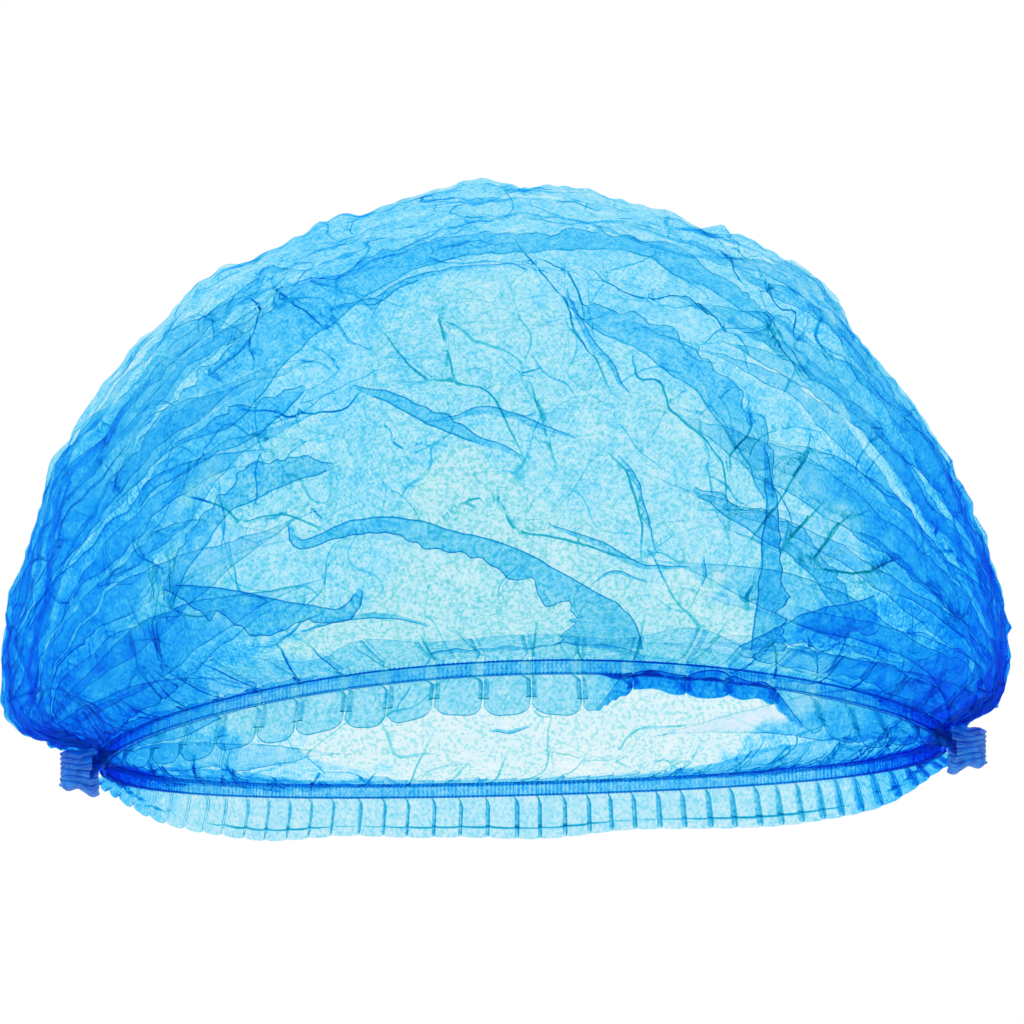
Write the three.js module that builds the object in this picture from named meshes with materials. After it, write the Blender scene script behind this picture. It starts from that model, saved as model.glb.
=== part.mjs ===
// Disposable bouffant hair cap, shown open as it is worn. Millimetres, +Z up, -Y is the front.
// The origin is the middle of the mouth, level with the elastic at the front and the back.
// One pleated sheet runs between a weld at each side. Its long edges hold the elastic and end in a ruffle.
import * as THREE from "three";

// Outside of the puffed crown.
const HALF_WIDTH = 135;
const SHOULDER = 0.08; // the right shoulder is flatter by this share
const SHOULDER_TURN = 3.2; // and is flattest low down, where this times the lift is a right angle
const HALF_DEPTH = 115;
const CROWN_TOP = 145;
const BELLY_HEIGHT = 19;
const BELLY_TILT = 8; // the balloon is widest lower down on the left

// Mouth, along the middle of the elastic.
const MOUTH_HALF_WIDTH = 111;
const MOUTH_HALF_DEPTH = 84;
const END_DROOP = 8;
const END_TILT = 3; // the right end hangs higher than the left
const BACK_DROP = 4; // the back edge hangs lower than the front
const MOUTH_SHIFT = 3; // the mouth sits a little to the right under the crown

// Sheet, pleats and gaps.
const WALL = 1.2;
const GAP = 0.35;
const PLEATS = 18;
const ROWS_PER_PLEAT = 2;
const PLEAT_DEPTH = 3.4;
const EDGE_ROWS = 3; // pleats and folds die away over these rows next to the elastic
const CROWN_COLUMNS = 44;
const END_ANGLE = 0.06; // where the pleats meet the weld, in radians from the side pole

// Elastic, ruffles and welds.
const ELASTIC_HEIGHT = 4.4;
const ELASTIC_THICK = 1.6;
const ELASTIC_STEPS = 40;
const BAND_END = 0.04; // the bands stop this far before the side, in radians
const RUFFLE_HEIGHT = 11;
const RUFFLE_END_LOSS = 0.72; // the ruffles are shorter by this share at the welds
const RUFFLE_END_TURN = 3.5; // above 1, the loss stays near the welds
const RUFFLE_FLARE = 2.5;
const RUFFLE_WALL = 1;
const RUFFLE_SCALLOP = 1.4;
const RUFFLES = [
  { name: "ruffle_front", side: -1, folds: 26, wave: 1.7, tuckX: 48, tuckHalf: 20, tuckShare: 0.4 },
  { name: "ruffle_back", side: 1, folds: 42, wave: 1.1, tuckX: 0, tuckHalf: 1, tuckShare: 0 },
];
const SEAL_LENGTH = 10;
const SEAL_HEIGHT = 11;
const SEAL_RISE = 5; // how far the weld reaches above the end of the elastic
const SEAL_THICK = 3;
const SEAL_TEETH = 5;
const SEAL_TOOTH = 1.2;

// The main folds that cross the pleats. x and h place a fold's two ends and its middle on the front
// (side -1) or the back (side 1) of the crown, as seen square to a line that looks up at it by FOLD_VIEW.
// out is how far it stands out (a dent is negative) and width is half its base.
const FOLD_VIEW = THREE.MathUtils.degToRad(12);
const FOLDS = [
  { side: -1, x1: -55, h1: 55, x2: -2, h2: 51, x3: 34, h3: 20, out: 7, width: 14 },
  { side: -1, x1: -41, h1: 90, x2: -20, h2: 80, x3: 1, h3: 72, out: 6, width: 12 },
  { side: -1, x1: -48, h1: 112, x2: -24, h2: 119, x3: 6, h3: 124, out: 5, width: 13 },
  { side: -1, x1: 7, h1: 121, x2: 18, h2: 107, x3: 28, h3: 90, out: 5, width: 12 },
  { side: -1, x1: 65, h1: 76, x2: 60, h2: 48, x3: 53, h3: 20, out: 7, width: 13 },
  { side: -1, x1: 34, h1: 99, x2: 46, h2: 83, x3: 57, h3: 57, out: 5, width: 12 },
  { side: -1, x1: -92, h1: 37, x2: -66, h2: 35, x3: -42, h3: 31, out: 6, width: 13 },
  { side: -1, x1: 22, h1: 25, x2: 45, h2: 16, x3: 66, h3: 18, out: 8, width: 18 },
  { side: -1, x1: -20, h1: 100, x2: -8, h2: 92, x3: 4, h3: 70, out: -5, width: 16 },
  { side: -1, x1: 78, h1: 60, x2: 88, h2: 44, x3: 96, h3: 40, out: -5, width: 14 },
  { side: 1, x1: -70, h1: 84, x2: -20, h2: 92, x3: 30, h3: 84, out: 6, width: 14 },
  { side: 1, x1: -30, h1: 50, x2: 20, h2: 40, x3: 70, h3: 50, out: 7, width: 14 },
  { side: 1, x1: 60, h1: 104, x2: 30, h2: 112, x3: -10, h3: 122, out: -5, width: 15 },
];

const HALF_TURN = Math.PI;
const RIGHT_ANGLE = Math.PI / 2;

const clamp01 = (v) => Math.min(1, Math.max(0, v));
const mix = (a, b, t) => a + (b - a) * t;

// A point on the mouth's line at a bearing about the vertical. The line sinks towards both sides.
function mouthPoint(bearing, out = 0, down = 0) {
  const side = Math.cos(bearing);
  return new THREE.Vector3(
    MOUTH_SHIFT + (MOUTH_HALF_WIDTH + out) * side,
    (MOUTH_HALF_DEPTH + out) * Math.sin(bearing),
    END_TILT * side - END_DROOP * side * side - BACK_DROP * clamp01(Math.sin(bearing)) ** 2 - down,
  );
}

// The smooth balloon. rise is 0 at the mouth and 1 at the top of the crown.
const TUCK_SHARE = 0.13; // the part of the rise that is the underside, between the mouth and the belly
const TUCK_TURN = 1.45;
const TUCK_FULLNESS = 1.4; // above 1, the belly stays full further down before it turns in
function balloonPoint(bearing, rise) {
  const c = Math.cos(bearing);
  const s = Math.sin(bearing);
  const bellyLevel = BELLY_HEIGHT + BELLY_TILT * c;
  if (rise > TUCK_SHARE) {
    const lift = (RIGHT_ANGLE * (rise - TUCK_SHARE)) / (1 - TUCK_SHARE);
    const level = bellyLevel + (CROWN_TOP - bellyLevel) * Math.sin(lift);
    const flat = 1 - SHOULDER * Math.sin(Math.min(Math.PI, SHOULDER_TURN * lift)) * Math.max(0, c);
    return new THREE.Vector3(
      HALF_WIDTH * c * Math.cos(lift) * flat,
      HALF_DEPTH * s * Math.cos(lift),
      level,
    );
  }
  const mouth = mouthPoint(bearing, 0, -ELASTIC_HEIGHT / 2 - GAP);
  const belly = new THREE.Vector3(HALF_WIDTH * c, HALF_DEPTH * s, bellyLevel);
  const turn = TUCK_TURN * (1 - rise / TUCK_SHARE);
  const inward = ((1 - Math.cos(turn)) / (1 - Math.cos(TUCK_TURN))) ** TUCK_FULLNESS;
  const down = Math.sin(turn) / Math.sin(TUCK_TURN);
  return new THREE.Vector3(
    mix(belly.x, mouth.x, inward),
    mix(belly.y, mouth.y, inward),
    mix(belly.z, mouth.z, down),
  );
}

// along runs from the left weld (0) to the right one (PI), round from the front edge (0) over the top to the back.
function sheetPoint(along, round) {
  const x = -Math.cos(along);
  const y = -Math.sin(along) * Math.cos(round);
  const z = Math.sin(along) * Math.sin(round);
  return balloonPoint(Math.atan2(y, x), Math.asin(clamp01(z)) / RIGHT_ANGLE);
}

// How far a fold lifts a point: a round-backed ridge along a bent line seen from the front or the back.
function foldLift(p) {
  const height = p.z * Math.cos(FOLD_VIEW) + Math.abs(p.y) * Math.sin(FOLD_VIEW);
  let lift = 0;
  for (const f of FOLDS) {
    if (p.y * f.side < 0) continue;
    const line = new THREE.QuadraticBezierCurve(
      new THREE.Vector2(f.x1, f.h1),
      new THREE.Vector2(f.x2, f.h2),
      new THREE.Vector2(f.x3, f.h3),
    );
    let near = Infinity;
    let share = 0;
    for (const [i, q] of line.getPoints(12).entries()) {
      const far = Math.hypot(p.x - q.x, height - q.y);
      if (far < near) [near, share] = [far, i / 12];
    }
    const swell = 0.45 + 0.55 * Math.sin(HALF_TURN * share);
    lift += f.out * swell * Math.max(0, 1 - near / f.width);
  }
  return lift;
}

// Pleat lines run from weld to weld. They stand out most half way between the middle and the weld.
function pleatLift(along, row) {
  const spread = Math.sin(along);
  const depth = PLEAT_DEPTH * Math.min(1, spread * spread * 3) * (1 - 0.35 * spread);
  return row % ROWS_PER_PLEAT === 0 ? 0 : depth;
}

// A bent plate between two grids of points, closed along its four edges.
function plateGeometry(outer, inner) {
  const rows = outer.length;
  const columns = outer[0].length;
  const position = [];
  for (const grid of [outer, inner])
    for (const line of grid) for (const p of line) position.push(p.x, p.y, p.z);
  const at = (layer, r, c) => layer * rows * columns + r * columns + c;
  const index = [];
  const quad = (a, b, c, d) => index.push(a, b, c, a, c, d);
  for (let r = 0; r < rows - 1; r++)
    for (let c = 0; c < columns - 1; c++) {
      quad(at(0, r, c), at(0, r, c + 1), at(0, r + 1, c + 1), at(0, r + 1, c));
      quad(at(1, r, c), at(1, r + 1, c), at(1, r + 1, c + 1), at(1, r, c + 1));
    }
  for (let c = 0; c < columns - 1; c++) {
    quad(at(0, 0, c), at(1, 0, c), at(1, 0, c + 1), at(0, 0, c + 1));
    quad(at(0, rows - 1, c), at(0, rows - 1, c + 1), at(1, rows - 1, c + 1), at(1, rows - 1, c));
  }
  for (let r = 0; r < rows - 1; r++) {
    quad(at(0, r, 0), at(0, r + 1, 0), at(1, r + 1, 0), at(1, r, 0));
    quad(at(0, r, columns - 1), at(1, r, columns - 1), at(1, r + 1, columns - 1), at(0, r + 1, columns - 1));
  }
  const geometry = new THREE.BufferGeometry();
  geometry.setAttribute("position", new THREE.Float32BufferAttribute(position, 3));
  geometry.setIndex(index);
  geometry.computeVertexNormals();
  return geometry;
}

// The crown: the smooth balloon, lifted by its pleats and folds, with a wall inside it.
function crownGeometry() {
  const rows = PLEATS * ROWS_PER_PLEAT;
  const outer = [];
  const inner = [];
  const step = 1e-3;
  const inside = HALF_TURN * 1e-3; // the slope at the free edge is taken this far in from it
  for (let r = 0; r <= rows; r++) {
    const round = (HALF_TURN * r) / rows;
    const edge = Math.min(1, Math.min(r, rows - r) / EDGE_ROWS);
    const line = [];
    const backing = [];
    for (let c = 0; c <= CROWN_COLUMNS; c++) {
      const along = mix(END_ANGLE, HALF_TURN - END_ANGLE, c / CROWN_COLUMNS);
      const p = sheetPoint(along, round);
      const near = Math.min(HALF_TURN - inside, Math.max(inside, round));
      const across = sheetPoint(along, near + step).sub(sheetPoint(along, near - step));
      const length = sheetPoint(along + step, near).sub(sheetPoint(along - step, near));
      const normal = length.cross(across).normalize();
      const lift = edge * (pleatLift(along, r) + foldLift(p) - PLEAT_DEPTH / 2);
      line.push(p.clone().addScaledVector(normal, lift));
      backing.push(p.clone().addScaledVector(normal, lift - WALL));
    }
    outer.push(line);
    inner.push(backing);
  }
  return plateGeometry(outer, inner);
}

// Half of the elastic: a flat band on edge, from one weld round the front or the back to the other.
function elasticGeometry(side) {
  const outer = [];
  const inner = [];
  for (const down of [ELASTIC_HEIGHT / 2, -ELASTIC_HEIGHT / 2]) {
    const line = [];
    const backing = [];
    for (let i = 0; i <= ELASTIC_STEPS; i++) {
      const turn = mix(BAND_END, HALF_TURN - BAND_END, i / ELASTIC_STEPS);
      const bearing = side < 0 ? -HALF_TURN + turn : turn;
      line.push(mouthPoint(bearing, ELASTIC_THICK / 2, down));
      backing.push(mouthPoint(bearing, -ELASTIC_THICK / 2, down));
    }
    outer.push(line);
    inner.push(backing);
  }
  return plateGeometry(outer, inner);
}

// A ruffle: the free edge of the hem below the elastic, in even round folds that flare a little.
function ruffleGeometry({ side, folds, wave, tuckX, tuckHalf, tuckShare }) {
  const outer = [];
  const inner = [];
  const stepsPerFold = 4;
  const columns = folds * stepsPerFold;
  for (const level of [1, 0]) {
    const line = [];
    const backing = [];
    for (let i = 0; i <= columns; i++) {
      const turn = mix(BAND_END, HALF_TURN - BAND_END, i / columns);
      const bearing = side < 0 ? -HALF_TURN + turn : turn;
      const phase = (2 * HALF_TURN * i) / stepsPerFold;
      const out = level * (RUFFLE_FLARE + wave * Math.cos(phase));
      const edge = RUFFLE_SCALLOP * (1 - Math.cos(phase)) * 0.5;
      const tuck = tuckShare * clamp01((tuckHalf - Math.abs(mouthPoint(bearing).x - tuckX)) / 8);
      const loss = RUFFLE_END_LOSS * Math.abs(Math.cos(bearing)) ** RUFFLE_END_TURN;
      const height = (RUFFLE_HEIGHT - edge) * (1 - tuck) * (1 - loss);
      const down = ELASTIC_HEIGHT / 2 + GAP + level * height;
      line.push(mouthPoint(bearing, out + RUFFLE_WALL / 2, down));
      backing.push(mouthPoint(bearing, out - RUFFLE_WALL / 2, down));
    }
    outer.push(line);
    inner.push(backing);
  }
  return plateGeometry(outer, inner);
}

// A weld: all the pleats pressed into one flat tab with a pinked lower edge.
function sealGeometry() {
  const outline = new THREE.Shape();
  const top = SEAL_HEIGHT / 2;
  outline.moveTo(-SEAL_LENGTH / 2, top);
  outline.lineTo(-SEAL_LENGTH / 2, -top);
  for (let i = 1; i <= SEAL_TEETH; i++) {
    const x = mix(-SEAL_LENGTH / 2, SEAL_LENGTH / 2, (i - 0.5) / SEAL_TEETH);
    outline.lineTo(x, -top - SEAL_TOOTH);
    outline.lineTo(mix(-SEAL_LENGTH / 2, SEAL_LENGTH / 2, i / SEAL_TEETH), -top);
  }
  outline.lineTo(SEAL_LENGTH / 2, top);
  const geometry = new THREE.ExtrudeGeometry(outline, { depth: SEAL_THICK, bevelEnabled: false });
  geometry.translate(0, 0, -SEAL_THICK / 2);
  geometry.rotateX(RIGHT_ANGLE);
  return geometry;
}

const material = (color, roughness) =>
  new THREE.MeshStandardMaterial({ color, roughness, metalness: 0, side: THREE.DoubleSide });
const nonwoven = material(0x56b8ee, 0.75);
const hem = material(0x6cc6ee, 0.75);
const elasticBlue = material(0x1f8de0, 0.6);
const weldBlue = material(0x1a6ecb, 0.4);

const group = new THREE.Group();
function add(name, geometry, finish) {
  const mesh = new THREE.Mesh(geometry, finish);
  mesh.name = name;
  group.add(mesh);
  return mesh;
}

add("crown", crownGeometry(), nonwoven);
add("elastic_front", elasticGeometry(-1), elasticBlue);
add("elastic_back", elasticGeometry(1), elasticBlue);
for (const ruffle of RUFFLES) add(ruffle.name, ruffleGeometry(ruffle), hem);
for (const [name, bearing] of [["seal_left", HALF_TURN], ["seal_right", 0]]) {
  const end = mouthPoint(bearing);
  const tab = add(name, sealGeometry(), weldBlue);
  const outward = Math.sign(end.x) * (SEAL_LENGTH / 2 + ELASTIC_THICK / 2 + GAP);
  tab.position.set(end.x + outward, end.y, end.z + SEAL_RISE - SEAL_HEIGHT / 2);
}

export default group;
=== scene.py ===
# %% [markdown]
# # A disposable bouffant hair cap
# The real cap is one thin sheet of blue spun-bonded fabric. It is pleated like a fan from side to side,
# fused at both ends, and its two long edges are folded over an elastic. Opened, it puffs out like a
# mushroom. This lesson builds the sheet, its hems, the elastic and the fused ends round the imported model.

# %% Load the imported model
import math

import bpy
import numpy as np
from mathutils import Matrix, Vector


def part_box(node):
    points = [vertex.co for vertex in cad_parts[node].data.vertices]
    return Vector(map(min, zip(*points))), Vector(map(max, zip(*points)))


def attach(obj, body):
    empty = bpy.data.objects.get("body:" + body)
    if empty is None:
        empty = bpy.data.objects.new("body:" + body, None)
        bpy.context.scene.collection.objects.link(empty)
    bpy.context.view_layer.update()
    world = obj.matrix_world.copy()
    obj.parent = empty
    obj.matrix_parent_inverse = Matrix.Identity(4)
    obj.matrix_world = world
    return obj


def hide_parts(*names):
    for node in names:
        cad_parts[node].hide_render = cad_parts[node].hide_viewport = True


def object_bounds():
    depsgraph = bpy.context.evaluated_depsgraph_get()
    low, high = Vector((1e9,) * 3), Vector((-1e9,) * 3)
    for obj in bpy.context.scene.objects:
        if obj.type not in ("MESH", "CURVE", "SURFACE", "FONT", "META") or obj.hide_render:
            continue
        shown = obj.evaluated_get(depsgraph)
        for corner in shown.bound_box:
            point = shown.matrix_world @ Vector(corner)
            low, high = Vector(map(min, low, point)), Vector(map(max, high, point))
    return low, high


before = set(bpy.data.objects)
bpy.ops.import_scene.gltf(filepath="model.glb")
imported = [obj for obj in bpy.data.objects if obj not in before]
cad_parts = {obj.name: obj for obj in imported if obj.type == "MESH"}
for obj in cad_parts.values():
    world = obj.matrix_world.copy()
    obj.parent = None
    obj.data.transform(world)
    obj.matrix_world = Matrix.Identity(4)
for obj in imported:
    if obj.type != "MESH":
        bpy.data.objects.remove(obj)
cad_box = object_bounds()
MM = 0.001
low_corner, high_corner = [[round(v, 3) for v in corner] for corner in cad_box]
print("the packed model reaches from", low_corner, "to", high_corner)

# %% [markdown]
# ## The camera
# Nothing holds the cap up in view, and its mouth is seen from a little below, so the camera looks up at
# it. A long lens from far off keeps the near and the far edge of the mouth close in size.

# %% Camera
VIEW_RISE = math.radians(11.6)
VIEW_FAR = 1.7
VIEW_MIDDLE = (0.0, 0.0, 0.0573)
VIEW_WIDTH = 0.2724


def add_camera():
    data = bpy.data.cameras.new("camera")
    data.sensor_width = 36
    data.lens = 36 * VIEW_FAR / VIEW_WIDTH
    camera = bpy.data.objects.new("camera", data)
    bpy.context.scene.collection.objects.link(camera)
    back = (0, -math.cos(VIEW_RISE), -math.sin(VIEW_RISE))
    camera.location = [m + VIEW_FAR * b for m, b in zip(VIEW_MIDDLE, back)]
    camera.rotation_euler = (math.pi / 2 + VIEW_RISE, 0, 0)
    bpy.context.scene.camera = camera
    return camera


print("camera at", [round(v, 2) for v in add_camera().location])

# %% [markdown]
# ## Floor and light
# The sheet is so thin that most of its look is light coming through it. A white surround on all sides
# lights it from behind as well as in front. The floor is far below, so no shadow falls near the cap.

# %% Floor and light
FLOOR_LEVEL = -0.5
scene = bpy.context.scene
scene.view_settings.view_transform = "Standard"
scene.cycles.transparent_max_bounces = 64


def add_floor():
    bpy.ops.mesh.primitive_plane_add(size=14, location=(0, 0, FLOOR_LEVEL))
    floor = bpy.context.object
    floor.name = "floor"
    paint = bpy.data.materials.new("floor_white")
    paint.use_nodes = True
    shader = paint.node_tree.nodes["Principled BSDF"]
    shader.inputs["Base Color"].default_value = (0.93, 0.93, 0.93, 1)
    shader.inputs["Roughness"].default_value = 0.9
    floor.data.materials.append(paint)


def add_light():
    world = bpy.data.worlds.new("white_surround")
    scene.world = world
    world.use_nodes = True
    world.node_tree.nodes["Background"].inputs["Color"].default_value = (1, 1, 1, 1)
    world.node_tree.nodes["Background"].inputs["Strength"].default_value = 1.0
    lamp = bpy.data.lights.new("key", "AREA")
    lamp.energy = 10
    lamp.size = 1.2
    key = bpy.data.objects.new("key", lamp)
    key.location = (-0.9, -1.1, 1.3)
    key.rotation_euler = (math.radians(48), 0, math.radians(-39))
    scene.collection.objects.link(key)


add_floor()
add_light()
print("floor at", FLOOR_LEVEL)

# %% [markdown]
# ## The puffed form
# The mouth is an oval line that sinks towards both ends. From it the sheet runs outwards, round the
# belly and over the top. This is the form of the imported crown, sized from its boxes, so that the fine
# sheet fits it. It is given as a function of a bearing and a rise, and then
# turned into the sheet's own directions: along, from weld to weld, and over, from front to back.

# %% The puffed form
crown_low, crown_high = [np.array(v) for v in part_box("crown")]
band_low, band_high = [np.array(v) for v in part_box("elastic_front")]
BAND_THICK = 1.6 * MM
BAND_HEIGHT = 4.4 * MM
END_DROOP = 8 * MM
END_TILT = 3 * MM
BACK_DROP = 4 * MM
BELLY_LEVEL = 19 * MM
BELLY_TILT = 8 * MM
SHOULDER = 0.08
SHOULDER_TURN = 3.2
TUCK_SHARE = 0.13
TUCK_TURN = 1.45
TUCK_FULLNESS = 1.4
half_width = (crown_high[0] - crown_low[0]) / 2 + 0.8 * MM
half_depth = crown_high[1]
crown_top = crown_high[2]
mouth_shift = (band_low[0] + band_high[0]) / 2
mouth_half_width = (band_high[0] - band_low[0] - BAND_THICK) / 2
mouth_half_depth = -band_low[1] - BAND_THICK / 2


def mouth_point(bearing, out=0.0, down=0.0):
    side = np.cos(bearing)
    x = mouth_shift + (mouth_half_width + out) * side
    y = (mouth_half_depth + out) * np.sin(bearing)
    z = END_TILT * side - END_DROOP * side**2 - BACK_DROP * np.maximum(0, np.sin(bearing)) ** 2 - down
    return np.stack([x + 0 * z, y + 0 * z, z], -1)


def balloon_point(bearing, rise):
    c, s = np.cos(bearing), np.sin(bearing)
    belly_level = BELLY_LEVEL + BELLY_TILT * c
    lift = math.pi / 2 * np.clip((rise - TUCK_SHARE) / (1 - TUCK_SHARE), 0, 1)
    flat = 1 - SHOULDER * np.sin(np.minimum(math.pi, SHOULDER_TURN * lift)) * np.maximum(0, c)
    dome = np.stack([
        half_width * c * np.cos(lift) * flat,
        half_depth * s * np.cos(lift),
        belly_level + (crown_top - belly_level) * np.sin(lift),
    ], -1)
    mouth = mouth_point(bearing, 0, -BAND_HEIGHT / 2)
    belly = np.stack([half_width * c, half_depth * s, belly_level], -1)
    turn = TUCK_TURN * (1 - np.clip(rise / TUCK_SHARE, 0, 1))
    inward = (((1 - np.cos(turn)) / (1 - math.cos(TUCK_TURN))) ** TUCK_FULLNESS)[..., None]
    down = np.sin(turn) / math.sin(TUCK_TURN)
    under = belly + (mouth - belly) * inward
    under[..., 2] = belly[..., 2] + (mouth[..., 2] - belly[..., 2]) * down
    return np.where((rise > TUCK_SHARE)[..., None], dome, under)


def unit(v):
    return v / np.maximum(np.linalg.norm(v, axis=-1, keepdims=True), 1e-12)


def run_along(line):
    """The distance from a line's first point to each of its points."""
    return np.concatenate([[0], np.linalg.norm(np.diff(line, axis=0), axis=1).cumsum()])


CHART = 480
CHART_SHARES = np.linspace(0, 1, CHART + 1)
END_ANGLE = 0.03


def make_chart():
    """Places and outward directions on the form, evenly spaced along and over it."""
    angle = np.linspace(END_ANGLE, math.pi - END_ANGLE, 2000)
    ridge = place_on_form(angle, np.full_like(angle, math.pi / 2))
    length = run_along(ridge)
    along = np.interp(np.linspace(0, length[-1], CHART + 1), length, angle)
    turn = np.linspace(0, math.pi, 1201)
    chart = np.empty((CHART + 1, CHART + 1, 3))
    girth = np.empty(CHART + 1)
    for i, a in enumerate(along):
        line = place_on_form(np.full_like(turn, a), turn)
        run = run_along(line)
        girth[i] = run[-1]
        over = np.interp(np.linspace(0, run[-1], CHART + 1), run, turn)
        chart[i] = place_on_form(np.full_like(over, a), over)
    outward = unit(np.cross(np.gradient(chart, axis=0), np.gradient(chart, axis=1)))
    return chart, outward, girth


def place_on_form(along, turn):
    x = -np.cos(along)
    y = -np.sin(along) * np.cos(turn)
    z = np.sin(along) * np.sin(turn)
    return balloon_point(np.arctan2(y, x), np.arcsin(np.clip(z, 0, 1)) / (math.pi / 2))


chart, chart_out, girth = make_chart()
ridge_length = np.linalg.norm(np.diff(chart[:, CHART // 2], axis=0), axis=1).sum()


def read_chart(table, along, over):
    """A value of the chart between its points. along and over run from 0 to 1."""
    a = np.clip(along, 0, 1) * CHART
    b = np.clip(over, 0, 1) * CHART
    i = np.minimum(a.astype(int), CHART - 1)
    j = np.minimum(b.astype(int), CHART - 1)
    u, v = (a - i)[..., None], (b - j)[..., None]
    return ((table[i, j] * (1 - u) + table[i + 1, j] * u) * (1 - v)
            + (table[i, j + 1] * (1 - u) + table[i + 1, j + 1] * u) * v)


def place_at(along, over):
    return read_chart(chart, along, over)


def outward_at(along, over):
    return unit(read_chart(chart_out, along, over))


print(f"over the top from weld to weld {ridge_length / MM:.0f} mm,",
      f"from elastic to elastic {girth[CHART // 2] / MM:.0f} mm")

# %% [markdown]
# ## Helpers for soft shapes
# A drift is a smooth random swell made of plane waves. It is the same each run, because its seed is set.
# make_sheet turns a grid of points into a mesh with the cloth's own flat coordinates as its UV map, and
# with the marks that the fabric's material reads. edge and line are distances to a fold, and their inks say
# how dark it is: partly doubled fabric, partly painted shade. layers says how many thicknesses lie there,
# with painted shade added in places, and single where the sheet lies alone.

# %% Helpers
CLOTH_LENGTH = 533 * MM


def drift(points, size, seed, waves=22):
    rng = np.random.default_rng(seed)
    ways = unit(rng.normal(size=(waves, 3))) * (2 * math.pi / (size * rng.uniform(0.7, 1.5, (waves, 1))))
    shift = rng.uniform(0, 2 * math.pi, waves)
    return np.sin(points @ ways.T + shift).sum(-1) / math.sqrt(waves / 2)


def smooth(low, high, value):
    t = np.clip((value - low) / (high - low), 0, 1)
    return t * t * (3 - 2 * t)


def make_sheet(name, points, flat, marks):
    """points is rows x columns x 3, flat the cloth coordinates, marks the named measures."""
    rows, columns = points.shape[:2]
    index = np.arange(rows * columns).reshape(rows, columns)
    quads = np.stack([index[:-1, :-1], index[:-1, 1:], index[1:, 1:], index[1:, :-1]], -1).reshape(-1, 4)
    mesh = bpy.data.meshes.new(name)
    mesh.vertices.add(rows * columns)
    mesh.vertices.foreach_set("co", points.reshape(-1))
    mesh.loops.add(quads.size)
    mesh.loops.foreach_set("vertex_index", quads.reshape(-1))
    mesh.polygons.add(len(quads))
    mesh.polygons.foreach_set("loop_start", np.arange(len(quads)) * 4)
    mesh.update(calc_edges=True)
    uv = mesh.uv_layers.new(name="cloth")
    uv.data.foreach_set("uv", flat.reshape(-1, 2)[quads.reshape(-1)].reshape(-1))
    for mark, values in marks.items():
        layer = mesh.attributes.new(mark, "FLOAT", "POINT")
        values = np.broadcast_to(values, (rows, columns)).reshape(-1).astype(np.float32)
        layer.data.foreach_set("value", values)
    mesh.polygons.foreach_set("use_smooth", np.ones(len(quads), dtype=bool))
    piece = bpy.data.objects.new(name, mesh)
    bpy.context.scene.collection.objects.link(piece)
    print(name, "has", 2 * len(quads), "triangles")
    return piece


# %% [markdown]
# ## The pleated sheet
# Each pleat is a Z: the sheet runs over, back under itself, and on. Near the welds the girth is small
# and the sheet is as wide as ever, so the pleats lie deep over each other and look dark. In the middle
# they are pulled open. The rows of the grid follow the pleats, so even a fold 1 mm deep stays sharp.

# %% The pleated sheet
PLEATS = 18
PANEL_ROWS = 20
TURN_ROWS = 5
COLUMNS = 410
PLEAT_RISE = 0.35 * MM
SIDE_DEPTH = 1.15
OPEN_FROM, OPEN_TO = 0.22, 0.40


def pleat_depth(along, over, seed):
    """How far a pleat lies under itself, as a share of the space between two pleats."""
    side = np.minimum(along, 1 - along)
    closed = 1 - smooth(OPEN_FROM, OPEN_TO, side)
    fan = closed * (0.95 + 1.0 * smooth(0.2, 0.02, side) + 2.2 * smooth(0.08, 0.0, side))
    low = 0.55 + 0.45 * np.abs(2 * over - 1)
    rng = np.random.default_rng(seed)
    phase = rng.uniform(0, 2 * math.pi, 3)
    uneven = 1 + 0.35 * np.sin(7 * along + phase[0]) + 0.3 * np.sin(17 * along + phase[1])
    top = 0.10 * smooth(0.2, 0.0, abs(over - 0.42)) * np.maximum(0, np.sin(9 * along + phase[2]))
    return np.maximum(fan * low * uneven * SIDE_DEPTH, 0.002 + top)


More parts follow.
